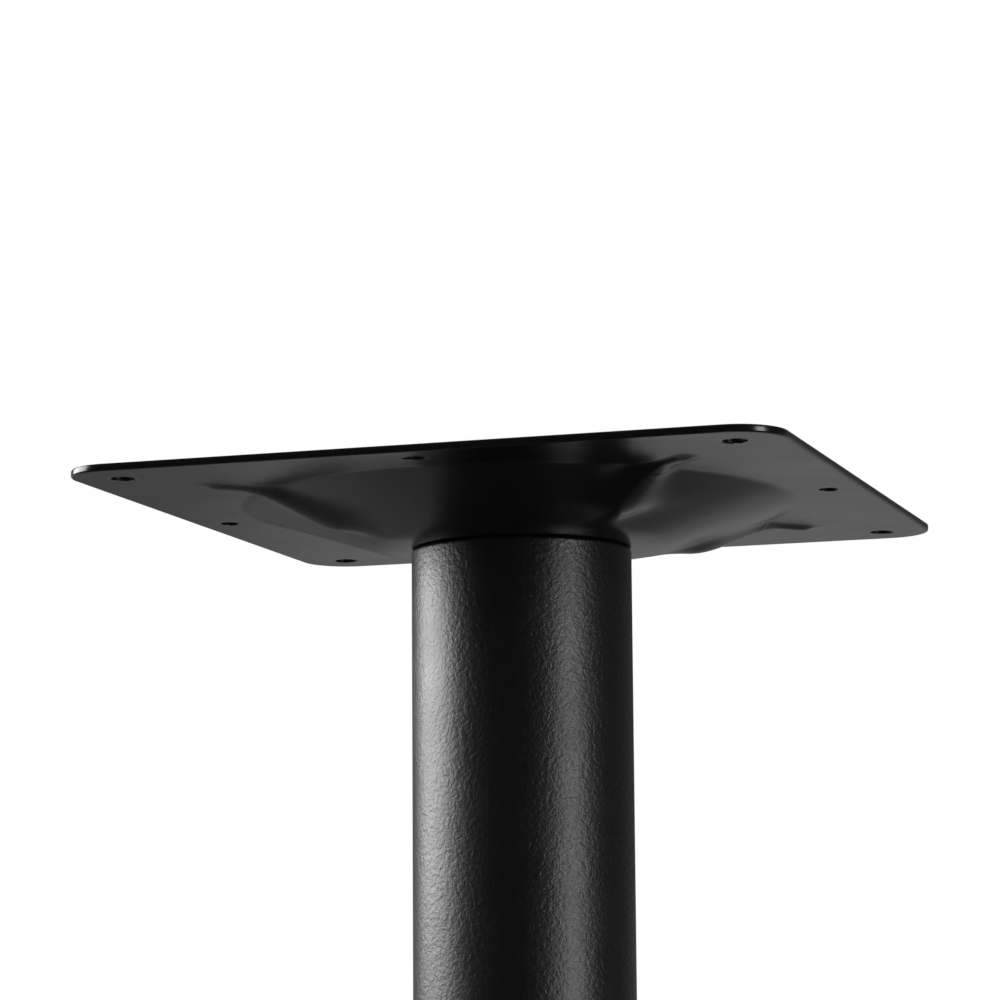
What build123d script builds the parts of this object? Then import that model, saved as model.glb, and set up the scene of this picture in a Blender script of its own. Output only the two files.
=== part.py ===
from build123d import *
from math import cos, radians, sin, tan
import os

# Cafe table base: a round cast foot on four levelling glides, a tube column and a pressed square top plate,
# all pulled together by one tie rod. Millimetres, +Z up, origin on the floor under the middle of the column.

# Whole base
overall_height = 720.0

# Top plate: flange
plate_side = 242.0
plate_corner_radius = 17.0
sheet = 2.5
sheet_edge_radius = 0.6
corner_hole_spacing = 208.0
corner_hole_diameter = 8.0
side_hole_spacing = 218.0
side_hole_diameter = 6.2

# Top plate: round dish, a shallow cone; depths are measured down from the top of the flange to the underside
dish_radius = 95.0
dish_slope = 17.7
dish_rim_blend = 6.0
neck_depth = 17.9
neck_blend = 50.0

# Top plate: boss that drops into the column
boss_depth = 5.0
boss_blend = 3.0
boss_corner_radius = 0.2
boss_clearance = 0.4

# Top plate: four diagonal ribs, crest depths measured as for the dish
rib_count = 4
rib_first_angle = 45.0
rib_nose_centre = 114.0
rib_nose_depth = 3.9
rib_neck_radius = 103.0
rib_neck_depth = 4.3
rib_shoulder_radius = 93.0
rib_shoulder_depth = 6.9
rib_flank_radius = 82.0
rib_flank_depth = 10.9
rib_knuckle_radius = 69.0
rib_knuckle_depth = 14.2
rib_root_radius = 50.0
rib_root_depth = 14.9
rib_crest_radius = 9.0
rib_flank_angle = 24.0
rib_nose_flank_angle = 36.0
rib_blend = 5.0

# Top plate: room that the outlines of the pressing take above and outside the sheet, and the slack of its levels
outline_headroom = 12.5
outline_sideroom = 25.0
level_slack = 0.01

# Column
column_diameter = 76.0
column_wall = 2.0
column_edge_chamfer = 0.6

# Foot casting
base_diameter = 400.0
base_rim_thickness = 11.0
base_rim_radius = 4.0
base_rise = 13.0
collar_wall = 6.0
collar_height = 12.0
collar_clearance = 0.3
collar_blend = 8.0
collar_lip_radius = 1.5
socket_depth = 12.0
nut_pocket_diameter = 48.0
nut_pocket_depth = 15.0

# Tie rod, washers and nuts
rod_diameter = 10.0
rod_clearance = 0.5
rod_chamfer = 1.0
rod_end_above_nut = 2.6
rod_end_below_nut = 1.5
thread_clearance = 0.05
nut_across_flats = 17.0
nut_height = 8.4
nut_chamfer_angle = 30.0
washer_diameter = 30.0
washer_thickness = 2.5
washer_hole_clearance = 0.25
lock_washer_diameter = 18.0
lock_washer_thickness = 2.2
lock_washer_slit = 1.5

# Levelling glides
glide_count = 4
glide_first_angle = 45.0
glide_circle_radius = 165.0
glide_travel = 6.0
glide_top_gap = 0.3
pad_diameter = 34.0
pad_height = 4.7
pad_edge_chamfer = 1.0
stud_diameter = 8.0
stud_engagement = 5.0
stud_chamfer = 0.8
stud_clearance = 0.05
stud_end_clearance = 0.5
stud_hexagon_across_flats = 13.0
stud_hexagon_height = 3.0
stud_root_diameter = 10.0
stud_root_length = 3.2
moulded_clearance = 0.05

# Levels and radii that follow from the sizes above
column_radius = column_diameter / 2
stud_length = glide_travel + stud_engagement
column_bore_radius = column_radius - column_wall
rod_radius = rod_diameter / 2
base_radius = base_diameter / 2
base_underside = pad_height + stud_hexagon_height + glide_top_gap
base_rim_top = base_underside + base_rim_thickness
collar_inner_radius = column_radius + collar_clearance
collar_outer_radius = collar_inner_radius + collar_wall
base_crown = base_rim_top + base_rise
collar_top = base_crown + collar_height
column_foot = collar_top - socket_depth
column_head = overall_height - neck_depth
pocket_ceiling = base_underside + nut_pocket_depth
boss_radius = column_bore_radius - boss_clearance
boss_floor_depth = neck_depth + boss_depth
boss_top = overall_height - boss_floor_depth + sheet
stack_height = washer_thickness + lock_washer_thickness + nut_height
rod_top = boss_top + stack_height + rod_end_above_nut
rod_bottom = pocket_ceiling - stack_height - rod_end_below_nut

os.makedirs("parts", exist_ok=True)


# Top plate
# Both faces of the sheet come from the same outlines: inset 0 gives the underside, inset of one sheet the top.

flange_underside = overall_height - sheet
cone_foot_radius = dish_radius - (neck_depth - sheet) / tan(radians(dish_slope))
high = overall_height + outline_headroom
far = dish_radius + outline_sideroom


def dish_form(inset):
    """Solid of the dish and boss down to the underside of the sheet, or to its top face with an inset."""
    with BuildPart() as form:
        with BuildSketch(Plane.XZ):
            with BuildLine():
                under = FilletPolyline(
                    (-boss_radius, overall_height - boss_floor_depth),
                    (boss_radius, overall_height - boss_floor_depth),
                    (boss_radius, overall_height - neck_depth),
                    (cone_foot_radius, overall_height - neck_depth),
                    (dish_radius, flange_underside),
                    (far, flange_underside),
                    radius=(boss_blend, boss_corner_radius, neck_blend, dish_rim_blend),
                )
                Polyline(under @ 1, (far, high), (-boss_radius, high), under @ 0)
            make_face()
            if inset > 0:
                offset(amount=-inset, kind=Kind.INTERSECTION)
            split(bisect_by=Plane.YZ, keep=Keep.TOP)
        revolve(axis=Axis.Z)
    return form.part


def rib_form(inset):
    """Solid of one rib along +X with its rounded nose, down to the same face of the sheet as the dish."""

    def arch(radius, crest_depth, flank_angle):
        """Cross-section of the rib at a radius: a round crest between two straight flanks."""
        slope = radians(flank_angle)
        crest = overall_height - crest_depth
        crest_half_chord = rib_crest_radius * sin(slope)
        spring = crest + rib_crest_radius * (1 - cos(slope))
        top_half_width = crest_half_chord + (high - spring) / tan(slope)
        with BuildSketch(Plane(origin=(radius, 0, 0), x_dir=(0, 1, 0), z_dir=(1, 0, 0))) as section:
            with BuildLine():
                ThreePointArc((-crest_half_chord, spring), (0, crest), (crest_half_chord, spring))
                Polyline(
                    (crest_half_chord, spring),
                    (top_half_width, high),
                    (-top_half_width, high),
                    (-crest_half_chord, spring),
                )
            make_face()
            if inset > 0:
                offset(amount=-inset, kind=Kind.INTERSECTION)
        return section.sketch

    with BuildPart() as form:
        add(arch(rib_nose_centre, rib_nose_depth, rib_nose_flank_angle))
        add(arch(rib_neck_radius, rib_neck_depth, rib_nose_flank_angle))
        add(arch(rib_shoulder_radius, rib_shoulder_depth, rib_flank_angle))
        add(arch(rib_flank_radius, rib_flank_depth, rib_flank_angle))
        add(arch(rib_knuckle_radius, rib_knuckle_depth, rib_flank_angle))
        add(arch(rib_root_radius, rib_root_depth, rib_flank_angle))
        add(arch(column_radius, rib_root_depth, rib_flank_angle))
        loft()
        nose = arch(rib_nose_centre, rib_nose_depth, rib_nose_flank_angle)
        half_nose = split(nose, bisect_by=Plane.XZ, mode=Mode.PRIVATE)
        revolve(half_nose, axis=Axis((rib_nose_centre, 0, 0), (0, 0, 1)))
    return form.part


under_rib = rib_form(0)
inner_rib = rib_form(sheet)
with BuildPart() as underside_form:
    add(dish_form(0))
    with PolarLocations(0, rib_count, start_angle=rib_first_angle):
        add(under_rib)
    below_flange = flange_underside + level_slack
    seams = underside_form.edges(Select.NEW).filter_by(lambda edge: edge.bounding_box().max.Z < below_flange)
    fillet(seams, radius=rib_blend)

with BuildPart() as top_plate:
    with BuildSketch(Plane.XY.offset(flange_underside)):
        RectangleRounded(plate_side, plate_side, plate_corner_radius)
    extrude(amount=sheet)
    fillet(top_plate.faces().sort_by(Axis.Z)[0].edges(), radius=sheet_edge_radius)
    fillet(top_plate.faces().sort_by(Axis.Z)[-1].edges(), radius=sheet_edge_radius)
    add(underside_form.part)
    split(bisect_by=Plane.XY.offset(overall_height), keep=Keep.BOTTOM)
    add(dish_form(sheet), mode=Mode.SUBTRACT)
    with PolarLocations(0, rib_count, start_angle=rib_first_angle):
        add(inner_rib, mode=Mode.SUBTRACT)
    with Locations((0, 0, overall_height)):
        with GridLocations(corner_hole_spacing, corner_hole_spacing, 2, 2):
            Hole(radius=corner_hole_diameter / 2)
        with GridLocations(side_hole_spacing, 0, 2, 1):
            Hole(radius=side_hole_diameter / 2)
        with GridLocations(0, side_hole_spacing, 1, 2):
            Hole(radius=side_hole_diameter / 2)
        Hole(radius=rod_radius + rod_clearance)
top_plate.part.label = "top_plate"
export_step(top_plate.part, "parts/top_plate.step")


# Column
# The tube stands in the collar of the foot and carries the neck of the top plate on its upper end.

with BuildPart() as column:
    with BuildSketch(Plane.XY.offset(column_foot)):
        Circle(radius=column_radius)
        Circle(radius=column_bore_radius, mode=Mode.SUBTRACT)
    extrude(amount=column_head - column_foot)
    outer_rims = column.edges().filter_by(GeomType.CIRCLE).filter_by(lambda edge: edge.radius > column_bore_radius)
    chamfer(outer_rims, length=column_edge_chamfer)
column.part.label = "column"
export_step(column.part, "parts/column.step")


# Foot casting
# One casting: a disc with a rounded rim that rises gently to the collar, with a pocket below for the nut.

with BuildPart() as base_casting:
    with BuildSketch(Plane.XZ):
        with BuildLine():
            top_line = FilletPolyline(
                (0, base_underside),
                (base_radius, base_underside),
                (base_radius, base_rim_top),
                (collar_outer_radius, base_crown),
                (collar_outer_radius, collar_top),
                (collar_inner_radius, collar_top),
                radius=(base_rim_radius / 2, base_rim_radius, collar_blend, collar_lip_radius),
            )
            Polyline(
                top_line @ 1,
                (collar_inner_radius, column_foot),
                (0, column_foot),
                top_line @ 0,
            )
        make_face()
    revolve(axis=Axis.Z)
    with Locations(Plane(origin=(0, 0, base_underside), z_dir=(0, 0, -1))):
        CounterBoreHole(
            radius=rod_radius + rod_clearance,
            counter_bore_radius=nut_pocket_diameter / 2,
            counter_bore_depth=nut_pocket_depth,
        )
        with PolarLocations(glide_circle_radius, glide_count, start_angle=-glide_first_angle):
            Hole(radius=stud_diameter / 2 + stud_clearance, depth=stud_length + stud_end_clearance)
base_casting.part.label = "base_casting"
export_step(base_casting.part, "parts/base_casting.step")


# Tie rod

with BuildPart() as tie_rod:
    with BuildSketch(Plane.XY.offset(rod_bottom)):
        Circle(radius=rod_radius)
    extrude(amount=rod_top - rod_bottom)
    chamfer(tie_rod.edges().filter_by(GeomType.CIRCLE), length=rod_chamfer)
tie_rod.part.label = "tie_rod"
export_step(tie_rod.part, "parts/tie_rod.step")


# Washers, lock washers and nuts
# Each end of the rod has a flat washer against the metal, then a split ring, then a nut.

nut_corner_radius = nut_across_flats / 2 / cos(radians(30))
nut_corner_drop = (nut_corner_radius - nut_across_flats / 2) * tan(radians(nut_chamfer_angle))


def flat_washer(level):
    with BuildPart() as washer:
        with BuildSketch(Plane.XY.offset(level)):
            Circle(radius=washer_diameter / 2)
            Circle(radius=rod_radius + washer_hole_clearance, mode=Mode.SUBTRACT)
        extrude(amount=washer_thickness)
    return washer


def split_ring(level):
    with BuildPart() as ring:
        with BuildSketch(Plane.XY.offset(level)):
            Circle(radius=lock_washer_diameter / 2)
            Circle(radius=rod_radius + washer_hole_clearance, mode=Mode.SUBTRACT)
            with Locations((lock_washer_diameter / 2, 0)):
                Rectangle(lock_washer_diameter, lock_washer_slit, mode=Mode.SUBTRACT)
        extrude(amount=lock_washer_thickness)
    return ring


def hexagon_nut(level):
    """Hexagon whose corners are turned away on both faces, with a plain bore in place of the thread."""
    with BuildPart() as nut:
        with BuildSketch(Plane.XY.offset(level)):
            RegularPolygon(radius=nut_across_flats / 2, side_count=6, major_radius=False)
            Circle(radius=rod_radius + thread_clearance, mode=Mode.SUBTRACT)
        extrude(amount=nut_height)
        with BuildSketch(Plane.XZ):
            with BuildLine():
                Polyline(
                    (0, level),
                    (nut_across_flats / 2, level),
                    (nut_corner_radius, level + nut_corner_drop),
                    (nut_corner_radius, level + nut_height - nut_corner_drop),
                    (nut_across_flats / 2, level + nut_height),
                    (0, level + nut_height),
                    close=True,
                )
            make_face()
        revolve(axis=Axis.Z, mode=Mode.INTERSECT)
    return nut


top_stack = {
    "top_washer": flat_washer(boss_top),
    "top_lock_washer": split_ring(boss_top + washer_thickness),
    "top_nut": hexagon_nut(boss_top + washer_thickness + lock_washer_thickness),
}
base_stack = {
    "base_washer": flat_washer(pocket_ceiling - washer_thickness),
    "base_lock_washer": split_ring(pocket_ceiling - washer_thickness - lock_washer_thickness),
    "base_nut": hexagon_nut(pocket_ceiling - stack_height),
}
for name, piece in (top_stack | base_stack).items():
    piece.part.label = name
    export_step(piece.part, f"parts/{name}.step")


# Levelling glides
# A plastic pad moulded round the root of a steel stud, which is turned by the hexagon under the casting.

stud_root_foot = pad_height - stud_root_length
hexagon_top = pad_height + stud_hexagon_height


def glide_pad(place):
    with BuildPart() as pad:
        with BuildSketch(place):
            Circle(radius=pad_diameter / 2)
        extrude(amount=pad_height)
        chamfer(pad.edges().filter_by(GeomType.CIRCLE), length=pad_edge_chamfer)
        with Locations(place.offset(pad_height)):
            Hole(radius=stud_root_diameter / 2 + moulded_clearance, depth=stud_root_length + moulded_clearance)
    return pad


def glide_stud(place):
    with BuildPart() as stud:
        with BuildSketch(place.offset(stud_root_foot)):
            Circle(radius=stud_root_diameter / 2)
        extrude(amount=stud_root_length)
        with BuildSketch(place.offset(pad_height)):
            RegularPolygon(radius=stud_hexagon_across_flats / 2, side_count=6, major_radius=False)
        extrude(amount=stud_hexagon_height)
        with BuildSketch(place.offset(hexagon_top)):
            Circle(radius=stud_diameter / 2)
        extrude(amount=glide_top_gap + stud_length)
        chamfer(stud.edges().filter_by(GeomType.CIRCLE).sort_by(Axis.Z)[-1], length=stud_chamfer)
    return stud


for index, spot in enumerate(PolarLocations(glide_circle_radius, glide_count, start_angle=glide_first_angle)):
    place = Plane(spot)
    pad = glide_pad(place)
    pad.part.label = f"foot_pad_{index + 1}"
    export_step(pad.part, f"parts/foot_pad_{index + 1}.step")
    stud = glide_stud(place)
    stud.part.label = f"foot_stud_{index + 1}"
    export_step(stud.part, f"parts/foot_stud_{index + 1}.step")
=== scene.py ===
from math import atan2, cos, radians, sin, tau

import bmesh
import bpy
from mathutils import Matrix, Vector


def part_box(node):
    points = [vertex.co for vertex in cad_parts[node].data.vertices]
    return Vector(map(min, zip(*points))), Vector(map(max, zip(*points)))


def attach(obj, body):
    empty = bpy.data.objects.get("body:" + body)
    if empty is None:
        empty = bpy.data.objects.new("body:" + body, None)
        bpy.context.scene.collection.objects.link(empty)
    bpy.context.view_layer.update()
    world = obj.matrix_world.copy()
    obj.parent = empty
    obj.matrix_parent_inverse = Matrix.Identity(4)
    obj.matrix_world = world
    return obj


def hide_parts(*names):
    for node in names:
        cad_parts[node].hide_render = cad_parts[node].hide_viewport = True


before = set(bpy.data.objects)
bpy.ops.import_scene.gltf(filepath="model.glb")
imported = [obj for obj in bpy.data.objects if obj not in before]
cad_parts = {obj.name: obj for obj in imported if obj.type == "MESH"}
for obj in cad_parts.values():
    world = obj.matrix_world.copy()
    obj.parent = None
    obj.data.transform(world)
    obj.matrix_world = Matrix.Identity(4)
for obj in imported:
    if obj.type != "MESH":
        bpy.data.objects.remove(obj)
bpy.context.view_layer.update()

scene = bpy.context.scene
scene.view_settings.view_transform = "Standard"

# Camera
# It stands 201 mm below the upper face of the top plate and 1.28 m from the column, and looks up at the
# pressing, so that the column runs out of the lower edge of the picture.
camera_azimuth = radians(18.27)
camera_elevation = radians(-8.91)
camera_roll = radians(0.40)
camera_x = 0.39518
camera_y = -1.22037
camera_drop = 0.20119
plate_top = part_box("top_plate")[1].z
camera = bpy.data.objects.new("camera", bpy.data.cameras.new("camera"))
camera.data.sensor_width = 36.0
camera.data.lens = 134.86
camera.data.clip_start = 0.05
camera.data.clip_end = 60.0
camera.location = (camera_x, camera_y, plate_top - camera_drop)
toward_camera = Vector((
    sin(camera_azimuth) * cos(camera_elevation),
    -cos(camera_azimuth) * cos(camera_elevation),
    sin(camera_elevation),
))
aim = (-toward_camera).to_track_quat("-Z", "Y")
camera.rotation_mode = "QUATERNION"
camera.rotation_quaternion = aim @ Matrix.Rotation(-camera_roll, 3, "Z").to_quaternion()
scene.collection.objects.link(camera)
scene.camera = camera


# Studio
# A plain pale floor, a grey surround that the camera alone sees as white, and two tall soft boxes, one beside
# the column on the left and one in front of it on the right.
class Shade:
    """A socket's value in a shader, on which sums are written as they are on paper."""

    def __init__(self, tree, socket):
        self.tree = tree
        self.socket = socket

    def node(self, kind, inputs=(), output=0, **settings):
        made = self.tree.nodes.new(kind)
        stops = settings.pop("stops", None)
        for name, value in settings.items():
            setattr(made, name, value)
        if stops:
            for place, value in stops[2:]:
                made.color_ramp.elements.new(place)
            for stop, (place, value) in zip(made.color_ramp.elements, stops):
                stop.position = place
                stop.color = (value, value, value, 1.0)
        for name, value in dict(inputs).items():
            if isinstance(value, Shade):
                self.tree.links.new(value.socket, made.inputs[name])
            else:
                made.inputs[name].default_value = value
        return Shade(self.tree, made.outputs[output])

    def math(self, operation, other=0.0, swapped=False):
        first, second = (other, self) if swapped else (self, other)
        return self.node("ShaderNodeMath", {0: first, 1: second}, operation=operation)

    def __add__(self, other):
        return self.math("ADD", other)

    def __radd__(self, other):
        return self.math("ADD", other, swapped=True)

    def __rsub__(self, other):
        return self.math("SUBTRACT", other, swapped=True)

    def __mul__(self, other):
        return self.math("MULTIPLY", other)

    def __rmul__(self, other):
        return self.math("MULTIPLY", other, swapped=True)

    def __pow__(self, other):
        return self.math("POWER", other)

    def ramp(self, *stops):
        """Runs in straight lines through stops of a value and the shade that it gives."""
        return self.node("ShaderNodeValToRGB", {"Fac": self}, stops=stops)


def start_shader(name):
    """A new material, its Principled shader, and its Object coordinates in metres."""
    material = bpy.data.materials.new(name)
    material.use_nodes = True
    tree = material.node_tree
    surface = tree.nodes["Principled BSDF"]
    place = tree.nodes.new("ShaderNodeTexCoord")
    return material, surface, Shade(tree, place.outputs["Object"])


def feed(surface, **sockets):
    """Links or sets the Principled shader's sockets, with _ in a name for each space."""
    for name, value in sockets.items():
        socket = surface.inputs[name.replace("_", " ")]
        if isinstance(value, Shade):
            value.tree.links.new(value.socket, socket)
        else:
            socket.default_value = value


def dress(piece, material):
    """Gives a piece its one material."""
    piece.data.materials.clear()
    piece.data.materials.append(material)
    for face in piece.data.polygons:
        face.material_index = 0


def put_in_scene(name, mesh):
    """Makes a shape an object of the scene, at the origin."""
    piece = bpy.data.objects.new(name, bpy.data.meshes.new(name))
    mesh.to_mesh(piece.data)
    mesh.free()
    scene.collection.objects.link(piece)
    return piece


scene.world = bpy.data.worlds.new("studio")
scene.world.use_nodes = True
sky = scene.world.node_tree
sky.nodes.clear()
direction = Shade(sky, sky.nodes.new("ShaderNodeTexCoord").outputs["Generated"])


def beyond(bearing, rise=0.0):
    """The camera's direction past the column, turned right by a bearing and raised, both in degrees."""
    turn = camera_azimuth - radians(bearing)
    level = cos(radians(rise))
    return Vector((-sin(turn) * level, cos(turn) * level, sin(radians(rise))))


def facing(aim):
    """How far a direction of the surround points along an aim, from 0 to 1."""
    along = direction.node(
        "ShaderNodeVectorMath", {0: direction, 1: aim}, operation="DOT_PRODUCT", output="Value",
    )
    return along.node("ShaderNodeClamp", {"Value": along})


def glow(aim, focus, strength):
    """A soft patch of light in the surround, which is narrower the higher its focus."""
    return facing(aim) ** focus * strength


# The black coats show little but what they reflect. The wall behind the column is brightest a little below
# the horizon, which is at 0.5 in the first ramp. It has a dimmer gap just to the left of the column: the
# second ramp goes by the sine of the angle to the left.
height_share = direction.node("ShaderNodeSeparateXYZ", {0: direction}, output="Z") * 0.5 + 0.5
wall_by_height = height_share.ramp(
    (0.0, 0.15), (0.16, 0.24), (0.29, 0.55), (0.38, 1.0), (0.49, 1.0), (0.55, 0.28), (1.0, 0.28),
)
wall_by_side = facing(beyond(-90.0)).ramp(
    (0.0, 1.0), (0.035, 1.0), (0.085, 0.35), (0.16, 0.35), (0.26, 1.0), (1.0, 1.0),
)
wall_light = glow(beyond(12.0), focus=1.5, strength=0.25) * wall_by_height * wall_by_side
low_light = glow(beyond(-40.0, rise=-34.0), focus=8.0, strength=0.24)
ceiling_light = glow(Vector((0.0, 0.0, 1.0)), focus=4.0, strength=0.30)
fill_light = 0.03
room_light = wall_light + low_light + ceiling_light + fill_light
by_camera = direction.node("ShaderNodeLightPath", output="Is Camera Ray")
strength = room_light * (1.0 - by_camera) + by_camera
background = direction.node("ShaderNodeBackground", {"Color": (1.0, 1.0, 1.0, 1.0), "Strength": strength})
sky.links.new(background.socket, sky.nodes.new("ShaderNodeOutputWorld").inputs["Surface"])

# Far from the object the camera sees the floor fade to white, and reflections look through the floor.
floor_size = 14.0
fade_start = 0.35
fade_end = 2.2
floor_sheet = bmesh.new()
bmesh.ops.create_grid(floor_sheet, x_segments=1, y_segments=1, size=floor_size / 2)
floor = put_in_scene("floor", floor_sheet)
material, surface, place = start_shader("pale_floor")
feed(surface, Base_Color=(0.80, 0.80, 0.80, 1.0), Roughness=0.7)
by_camera = place.node("ShaderNodeLightPath", output="Is Camera Ray")
by_reflection = place.node("ShaderNodeLightPath", output="Is Glossy Ray")
from_middle = place.node("ShaderNodeVectorMath", {0: place}, operation="LENGTH", output="Value")
faded = place.node(
    "ShaderNodeMapRange", {"Value": from_middle, "From Min": fade_start, "From Max": fade_end},
    interpolation_type="SMOOTHSTEP",
)
painted = Shade(place.tree, surface.outputs["BSDF"])
white = place.node("ShaderNodeEmission")
clear = place.node("ShaderNodeBsdfTransparent")
seen_floor = place.node("ShaderNodeMixShader", {0: faded * by_camera, 1: painted, 2: white})
seen_floor = place.node("ShaderNodeMixShader", {0: by_reflection, 1: seen_floor, 2: clear})
place.tree.links.new(seen_floor.socket, place.tree.nodes["Material Output"].inputs["Surface"])
dress(floor, material)


def soft_box(name, bearing, distance, width, height, middle, watts):
    """A tall area light that stands upright at a bearing from the camera, right of it being positive."""
    lamp = bpy.data.lights.new(name, "AREA")
    lamp.shape = "RECTANGLE"
    lamp.size = width
    lamp.size_y = height
    lamp.energy = watts
    box = bpy.data.objects.new(name, lamp)
    turn = camera_azimuth + radians(bearing)
    box.location = (distance * sin(turn), -distance * cos(turn), middle)
    toward_column = Vector((-sin(turn), cos(turn), 0.0))
    box.rotation_mode = "QUATERNION"
    box.rotation_quaternion = toward_column.to_track_quat("-Z", "Y")
    scene.collection.objects.link(box)


soft_box("soft_box_left", bearing=-106.0, distance=1.9, width=1.6, height=1.3, middle=1.32, watts=62.0)
soft_box("soft_box_right", bearing=50.0, distance=2.0, width=0.66, height=1.6, middle=0.6, watts=22.0)

# Column
# A length of 76 mm steel tube with rounded ends, blasted and powder coated: the coat flows into a coarse
# leathery skin. It stands in the foot's collar, and the tie rod pulls the top plate down on its upper end.
tube_radius = 0.038
tube_bore_radius = 0.036
tube_wall_middle = (tube_radius + tube_bore_radius) / 2
tube_end_rounding = 0.0014
tube_end_steps = 6
tube_steps = 160
tube_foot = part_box("column")[0].z
tube_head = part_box("column")[1].z
weld = 0.00001


def round_corners(section, corners, offset, steps):
    """Rounds corners of a flat section, from an offset before each to the same offset after it."""
    bmesh.ops.bevel(
        section, geom=corners, offset=offset, segments=steps, profile=0.5, affect="VERTICES", material=-1,
    )


def turn_round(section, steps):
    """Turns the outline of a section round the column's axis, in an even number of steps."""
    bmesh.ops.spin(
        section, geom=list(section.verts) + list(section.edges), axis=(0, 0, 1), cent=(0, 0, 0),
        angle=radians(360), steps=steps, use_merge=True,
    )
    bmesh.ops.remove_doubles(section, verts=list(section.verts), dist=weld)


def smooth_outwards(mesh):
    """Turns the faces of a closed shape outwards and shades them smooth."""
    bmesh.ops.recalc_face_normals(mesh, faces=list(mesh.faces))
    for face in mesh.faces:
        face.smooth = True


def noise(place, scale, detail=2.0, roughness=0.5, distortion=0.0):
    """Noise with features of about 1/scale metres."""
    return place.node(
        "ShaderNodeTexNoise",
        {"Vector": place, "Scale": scale, "Detail": detail, "Roughness": roughness, "Distortion": distortion},
    )


def bump(height, metres, under=None):
    """A Bump node for a height from 0 to 1 that stands for this many metres."""
    inputs = {"Height": height, "Distance": metres, "Strength": 1.0}
    if under is not None:
        inputs["Normal"] = under
    return height.node("ShaderNodeBump", inputs)


def tint(mask, dark, light):
    """A colour that runs from dark to light as the mask runs from 0 to 1."""
    return mask.node(
        "ShaderNodeMix", {"Factor": mask, 6: (*dark, 1.0), 7: (*light, 1.0)}, data_type="RGBA", output=2,
    )


tube = bmesh.new()
bmesh.ops.create_grid(tube, x_segments=1, y_segments=1, size=0.5)
for corner in tube.verts:
    corner.co = Vector((
        tube_radius if corner.co.x > 0 else tube_bore_radius,
        0.0,
        tube_head if corner.co.y > 0 else tube_foot,
    ))
outer_corners = [corner for corner in tube.verts if corner.co.x > tube_wall_middle]
round_corners(tube, outer_corners, tube_end_rounding, tube_end_steps)
bmesh.ops.delete(tube, geom=list(tube.faces), context="FACES_ONLY")
turn_round(tube, tube_steps)
smooth_outwards(tube)
column = put_in_scene("column_tube", tube)
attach(column, "base")
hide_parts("column")

coat_black = (0.0040, 0.0040, 0.0043)
coat_black_raised = (0.0056, 0.0056, 0.0058)
material, surface, place = start_shader("powder_coat_leathery")
cells = noise(place, 640.0, detail=3.0, roughness=0.55, distortion=0.5)
skin = bump(noise(place, 90.0), 0.00008)
skin = bump(cells, 0.00022, under=skin)
skin = bump(noise(place, 1900.0), 0.00002, under=skin)
feed(
    surface,
    Base_Color=tint(cells, coat_black, coat_black_raised),
    Roughness=0.30 + 0.12 * noise(place, 60.0),
    Normal=skin,
)
dress(column, material)

# Top plate
# One pressing of 2.5 mm steel sheet: a shallow cone in a flat square flange, crossed by four soft diagonal
# ribs, with eight punched screw holes. Its powder coat is finer and smoother than the tube's.
plate_half = 0.121
plate_corner = 0.017
sheet = 0.0025
edge_rounding = 0.0006
neck_depth = 0.0179
boss_depth = 0.0229
boss_radius = 0.0356
rod_hole = 0.0055
cone_foot = 0.04675
cone_rim = 0.095
cone_fall = (neck_depth - sheet) / (cone_rim - cone_foot)
upper_shift = 0.00039
rounding_step = 0.0015
flange_step = 0.0008
dish_step = 0.0016
plate_steps = 360

# The sheet's section, from the rod's hole out along the lower face and back along the upper one. Each corner
# has a radius, a depth below the plate's top, and a rounding. The cone's upper corners lie a little further
# in, so that the sheet keeps its thickness.
section = bmesh.new()
corners = []
for radius, depth, rounding in (
    (rod_hole, boss_depth, 0.0),
    (boss_radius, boss_depth, 0.003),
    (boss_radius, neck_depth, 0.0002),
    (cone_foot, neck_depth, 0.0078),
    (cone_rim, sheet, 0.0016),
    (plate_half, sheet, edge_rounding),
    (plate_half, 0.0, edge_rounding),
    (cone_rim - upper_shift, 0.0, 0.0018),
    (cone_foot - upper_shift, neck_depth - sheet, 0.0075),
    (boss_radius - sheet, neck_depth - sheet, 0.0005),
    (boss_radius - sheet, boss_depth - sheet, 0.0005),
    (rod_hole, boss_depth - sheet, 0.0),
):
    corners.append((section.verts.new((radius, 0.0, plate_top - depth)), rounding))
section.faces.new([corner for corner, rounding in corners])
for corner, rounding in corners:
    if rounding > 0:
        round_corners(section, [corner], rounding, steps=3 + int(rounding / rounding_step))
bmesh.ops.delete(section, geom=list(section.faces), context="FACES_ONLY")
for edge in list(section.edges):
    middle = (edge.verts[0].co.x + edge.verts[1].co.x) / 2
    step = flange_step if middle > cone_rim else dish_step
    cuts = int(edge.calc_length() / step)
    if cuts:
        bmesh.ops.subdivide_edges(section, edges=[edge], cuts=cuts)
turn_round(section, plate_steps)

# Outside the last round ring the flange is drawn out to the square. Of each eighth turn, the first 30 degrees
# become the straight side and the last 15 become half the corner.
last_ring = 0.0975
hem = 0.001
side_turn = radians(30)
corner_rate = 3


def square_rim(turn, inset):
    """The plate's rounded outline in one quarter turn about +X, a given distance inside its edge."""
    straight = plate_half - plate_corner
    share = min(abs(turn) / side_turn, 1.0)
    bend = max(abs(turn) - side_turn, 0.0) * corner_rate
    radius = plate_corner - inset
    side = 1.0 if turn > 0 else -1.0
    return Vector((straight + radius * cos(bend), side * (straight * share + radius * sin(bend)), 0.0))


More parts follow.
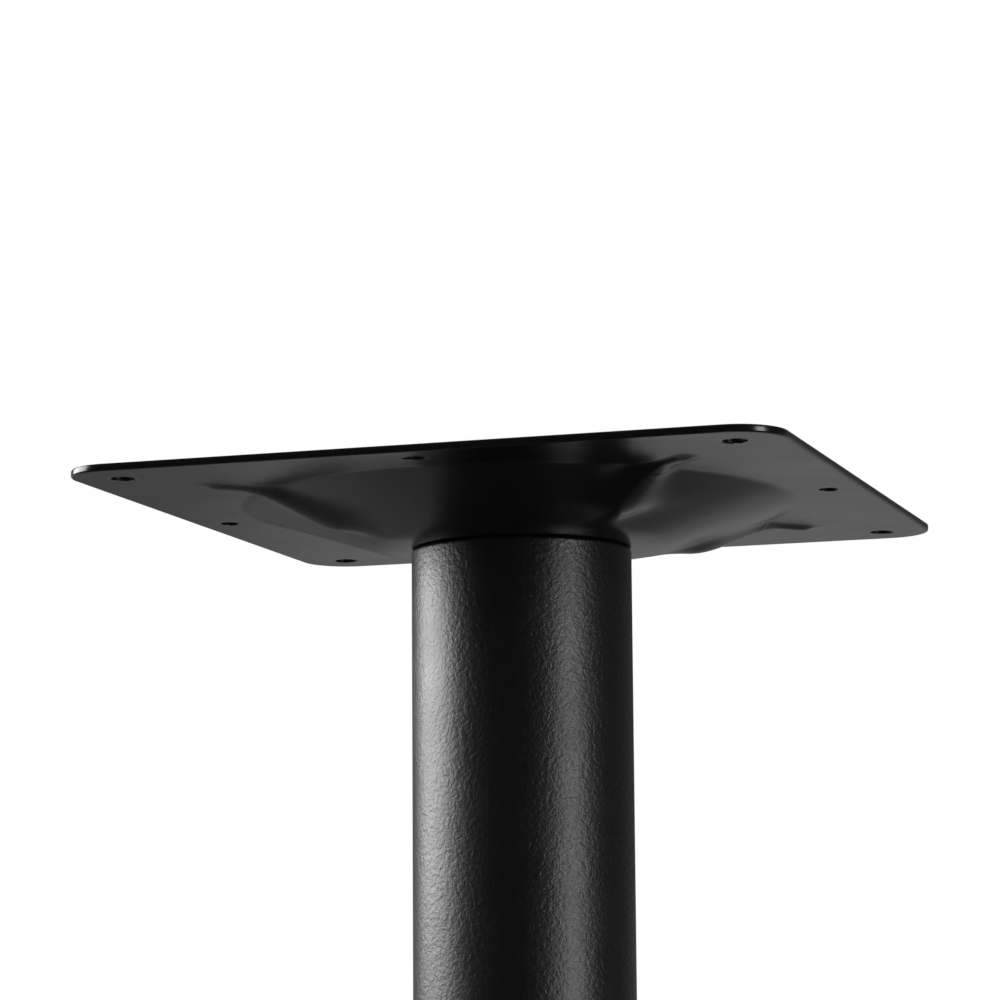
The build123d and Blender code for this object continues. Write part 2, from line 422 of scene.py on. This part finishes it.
def drawn_out(radius, turn):
    """The place in the square flange of a point at a radius and a turn in the round one."""
    quarter = round(turn / radians(90))
    turn -= quarter * radians(90)
    if plate_half - radius < hem:
        flat = square_rim(turn, plate_half - radius)
    else:
        ring = Vector((cos(turn), sin(turn), 0.0)) * last_ring
        flat = ring.lerp(square_rim(turn, hem), (radius - last_ring) / (plate_half - hem - last_ring))
    flat.rotate(Matrix.Rotation(quarter * radians(90), 3, "Z"))
    return flat


# Each rib runs inwards along a diagonal from its round nose in the flange, and grows deeper, wider and softer
# between two places on the way. It ends in the blend of the neck.
rib_nose = 0.114
nose_depth = 0.0040
nose_flank = 0.58
nose_crest = 0.0014
nose_blend = 0.0006
rib_depth = 0.0146
rib_flank = 0.46
rib_crest = 0.0022
rib_blend_gain = 0.0020
rib_grows_from = 0.105
rib_grown_at = 0.067
rib_ends_from = 0.052
rib_ended_at = 0.041


def eased(low, high, value):
    """A soft step from 0 at low to 1 at high."""
    share = min(max((value - low) / (high - low), 0.0), 1.0)
    return share * share * (3 - 2 * share)


def between(first, second, share):
    """The value a share of the way from the first to the second."""
    return first + (second - first) * share


def rib_press(place):
    """How far the ribs press a point of the sheet down, below the plain cone and flange."""
    radius = place.xy.length
    along = (abs(place.x) + abs(place.y)) * sin(radians(45))
    across = abs(abs(place.x) - abs(place.y)) * sin(radians(45))
    grown = eased(rib_grows_from, rib_grown_at, along)
    across = Vector((across, max(along - rib_nose, 0.0))).length
    crest = between(nose_crest, rib_crest, grown)
    flank = between(nose_flank, rib_flank, grown)
    rib = between(nose_depth, rib_depth, grown) + crest - Vector((across * flank, crest)).length
    cone = sheet + min(max(cone_rim - radius, 0.0), cone_rim - cone_foot) * cone_fall
    blend = Vector((cone - rib, nose_blend + rib_blend_gain * grown)).length
    return ((cone + rib + blend) / 2 - cone) * eased(rib_ended_at, rib_ends_from, radius)


for point in section.verts:
    radius = point.co.xy.length
    if radius > last_ring:
        point.co.xy = drawn_out(radius, atan2(point.co.y, point.co.x)).xy
    point.co.z -= rib_press(point.co)
smooth_outwards(section)
plate = put_in_scene("pressed_plate", section)

# The screw holes: four in the corners and four smaller ones in the middle of the sides.
corner_hole_offset = 0.104
corner_hole_radius = 0.004
side_hole_offset = 0.109
side_hole_radius = 0.0031
punch_length = 0.02
punch_sides = 48
sliver = 0.000002
punches = bmesh.new()
for x in (-1, 0, 1):
    for y in (-1, 0, 1):
        if x or y:
            in_corner = x and y
            offset = corner_hole_offset if in_corner else side_hole_offset
            hole_radius = corner_hole_radius if in_corner else side_hole_radius
            bmesh.ops.create_cone(
                punches, cap_ends=True, segments=punch_sides, radius1=hole_radius, radius2=hole_radius,
                depth=punch_length, matrix=Matrix.Translation((x * offset, y * offset, plate_top)),
            )
punch = put_in_scene("punch", punches)
holes = plate.modifiers.new("holes", "BOOLEAN")
holes.object = punch
holes.operation = "DIFFERENCE"
holes.solver = "EXACT"
punched = bpy.data.meshes.new_from_object(plate.evaluated_get(bpy.context.evaluated_depsgraph_get()))
without_slivers = bmesh.new()
without_slivers.from_mesh(punched)
bmesh.ops.remove_doubles(without_slivers, verts=list(without_slivers.verts), dist=sliver)
without_slivers.to_mesh(punched)
without_slivers.free()
plate.modifiers.clear()
plate.data = punched
bpy.data.objects.remove(punch)
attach(plate, "base")
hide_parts("top_plate")

fine_black = (0.0045, 0.0045, 0.0048)
dust_grey = (0.0300, 0.0300, 0.0290)
material, surface, place = start_shader("powder_coat_fine")
dust = noise(place, 900.0, detail=1.0).ramp((0.0, 0.0), (0.76, 0.0), (0.80, 1.0), (1.0, 1.0))
skin = bump(noise(place, 11.0, detail=1.0, distortion=0.3), 0.0012)
skin = bump(noise(place, 45.0), 0.00012, under=skin)
skin = bump(noise(place, 1500.0), 0.00003, under=skin)
feed(
    surface,
    Base_Color=tint(dust, fine_black, dust_grey),
    Roughness=0.17 + 0.06 * noise(place, 70.0),
    Normal=skin,
)
dress(plate, material)

# Foot casting
# A round plate and collar of grey iron in one piece, cast in sand and powder coated like the column. The coat
# leaves the sand's roughness and the slight hollows of the cooled iron to be seen.
material, surface, place = start_shader("powder_coat_casting")
cells = noise(place, 420.0, detail=3.0, roughness=0.55, distortion=0.4)
skin = bump(noise(place, 25.0), 0.0006)
skin = bump(cells, 0.00028, under=skin)
feed(
    surface,
    Base_Color=tint(cells, coat_black, coat_black_raised),
    Roughness=0.32 + 0.10 * noise(place, 40.0),
    Normal=skin,
)
dress(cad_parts["base_casting"], material)

# Tie rod and glide studs
# Steel with rolled M10 and M8 threads under bright zinc. The rod runs up the column from nut to nut, and the
# studs screw into the foot. One pitch between the two real ones is shaded on both, above the studs' hexagons.
thread_pitch = 0.0014
thread_depth = 0.0004
hexagon_top = 0.0077
material, surface, place = start_shader("zinc_plated_thread")
level = place.node("ShaderNodeSeparateXYZ", {0: place}, output="Z")
thread = (level * (tau / thread_pitch)).math("SINE") * 0.5 + 0.5
threaded = level.math("GREATER_THAN", hexagon_top)
feed(
    surface,
    Base_Color=tint(noise(place, 160.0), (0.52, 0.53, 0.56), (0.68, 0.68, 0.69)),
    Metallic=1.0,
    Roughness=0.26 + 0.16 * noise(place, 300.0),
    Normal=bump(thread * threaded, thread_depth),
)
dress(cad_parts["tie_rod"], material)
for number in range(1, 5):
    dress(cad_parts[f"foot_stud_{number}"], material)

# Washers, lock washers and nuts
# Punched, coiled and cold-forged steel under the same bright zinc, which is a little cloudy. They hold the
# two ends of the tie rod, in the boss of the top plate and in the pocket under the foot.
material, surface, place = start_shader("zinc_plate")
cloud = noise(place, 140.0, detail=3.0, roughness=0.6)
feed(
    surface,
    Base_Color=tint(cloud, (0.50, 0.51, 0.54), (0.68, 0.68, 0.69)),
    Metallic=1.0,
    Roughness=0.24 + 0.20 * cloud,
    Normal=bump(noise(place, 900.0), 0.00002),
)
for name in ("top_washer", "top_lock_washer", "top_nut", "base_washer", "base_lock_washer", "base_nut"):
    dress(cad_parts[name], material)

# Glide pads
# Discs of black nylon, each moulded round the root of its stud, which slide on the floor and are scuffed
# dull by it.
material, surface, place = start_shader("black_nylon")
scuffs = noise(place, 350.0, detail=4.0, roughness=0.7)
feed(
    surface,
    Base_Color=tint(scuffs, (0.016, 0.016, 0.017), (0.026, 0.026, 0.027)),
    Roughness=0.45 + 0.25 * scuffs,
    Normal=bump(scuffs, 0.00004),
)
for number in range(1, 5):
    dress(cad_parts[f"foot_pad_{number}"], material)
